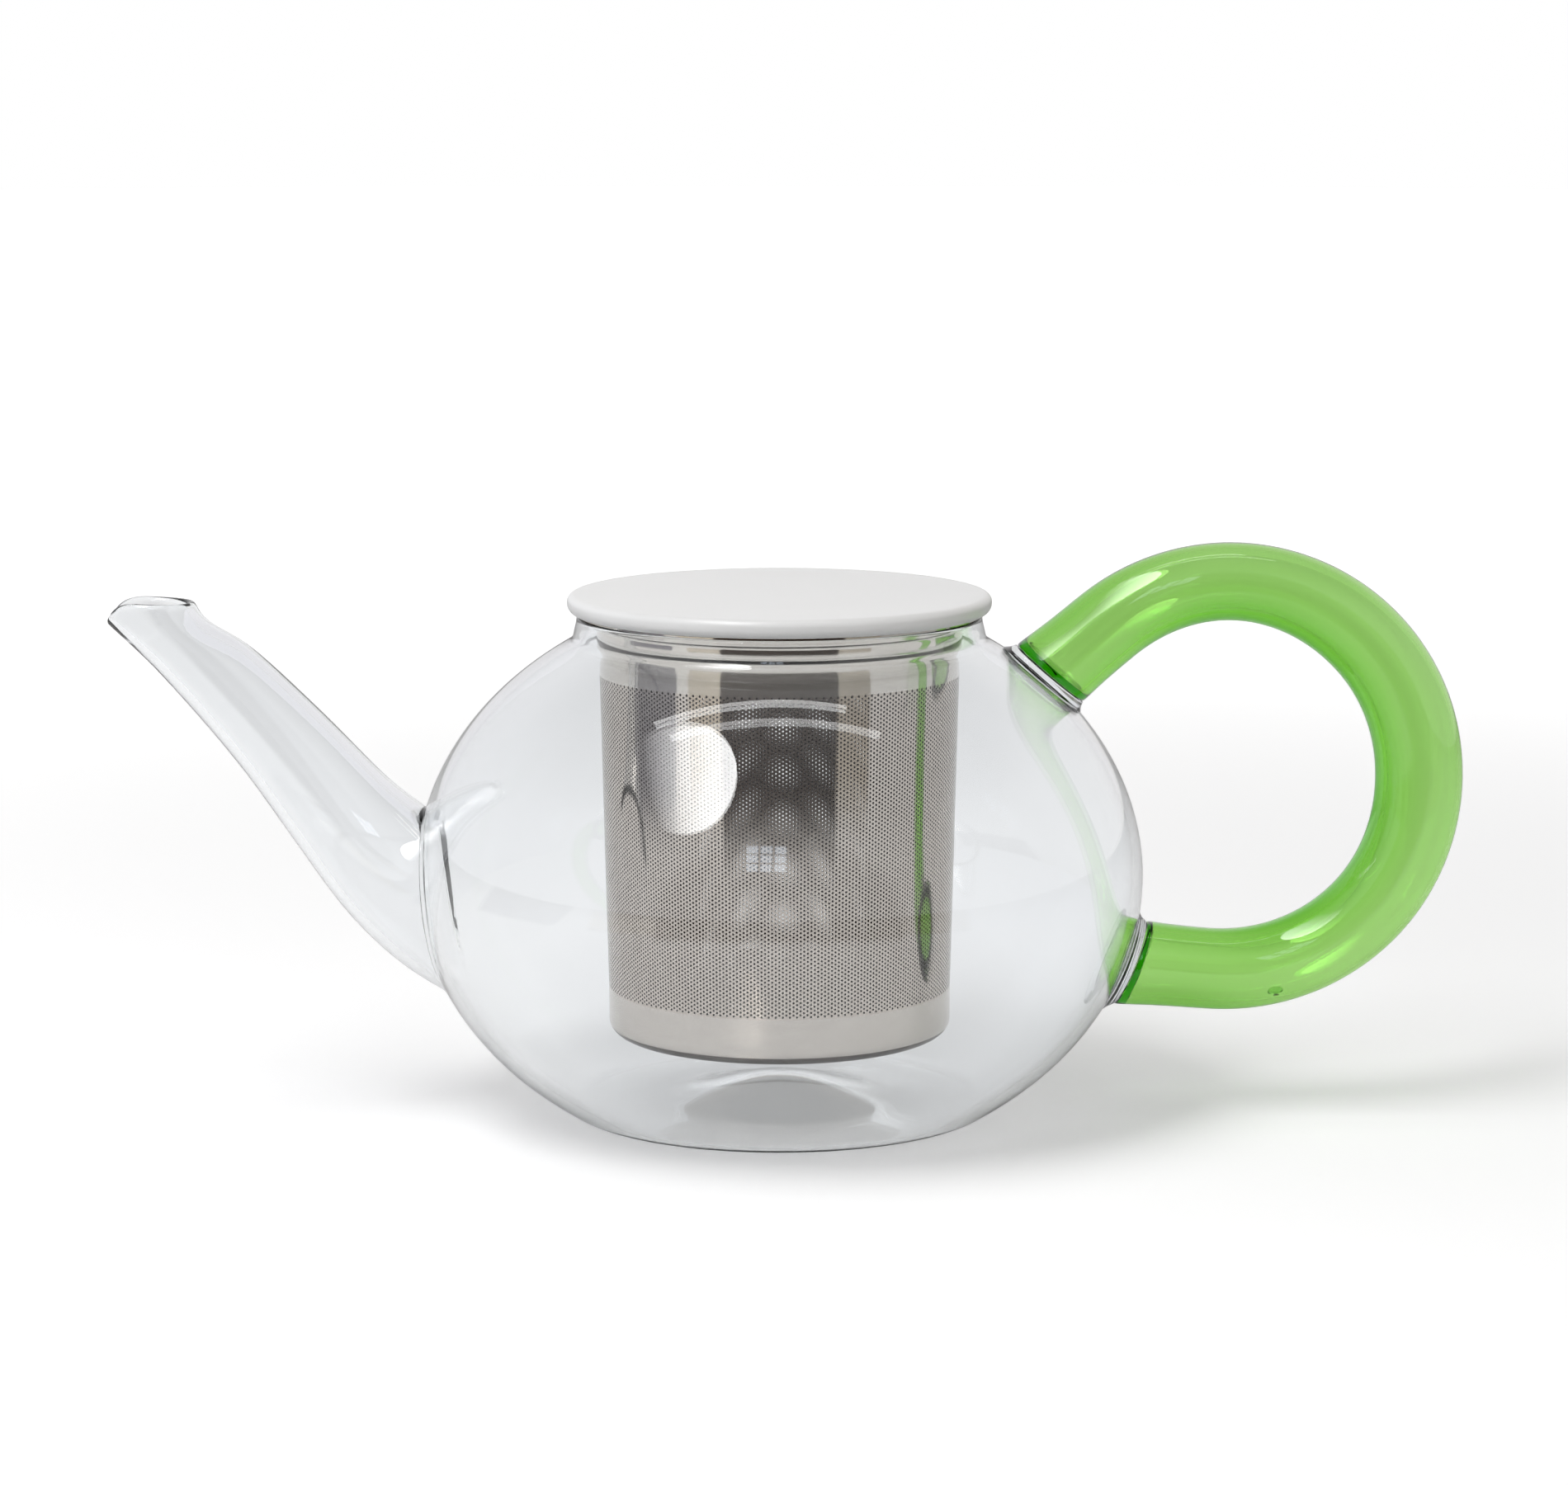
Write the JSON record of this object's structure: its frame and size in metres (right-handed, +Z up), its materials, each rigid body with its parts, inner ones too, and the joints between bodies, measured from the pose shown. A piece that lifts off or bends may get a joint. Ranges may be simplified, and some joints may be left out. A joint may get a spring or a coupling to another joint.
{
  "type": "glass teapot",
  "caption": "Clear glass teapot with a curved spout, a green glass loop handle, a hanging steel infuser basket and a flat white lid.",
  "frame": {"origin": "on the axis of the bowl, at the height of the surface that the standing ring rests on", "axes": "+Z up along the bowl's axis, -X towards the spout, +X towards the handle"},
  "size_m": [0.2737, 0.1472, 0.1161],
  "materials": {
    "clear_glass": "clear polished borosilicate glass",
    "green_glass": "clear green borosilicate glass tube",
    "steel": "satin stainless steel sheet",
    "glaze": "white gloss glaze"
  },
  "bodies": {
    "pot": {"glass_bowl": "clear_glass", "spout": "clear_glass", "handle_tube": "green_glass", "handle_upper_pad": "clear_glass", "handle_lower_pad": "clear_glass"},
    "infuser": {"infuser_collar": "steel", "infuser_wall": "steel", "infuser_base": "steel"},
    "lid": {"lid": "glaze"}
  },
  "joints": [
    {"name": "infuser_lift", "type": "slide", "parent": "pot", "child": "infuser", "axis": [0, 0, 1], "range_m": [0, 0.11]},
    {"name": "lid_lift", "type": "slide", "parent": "infuser", "child": "lid", "axis": [0, 0, 1], "range_m": [0, 0.04]}
  ]
}
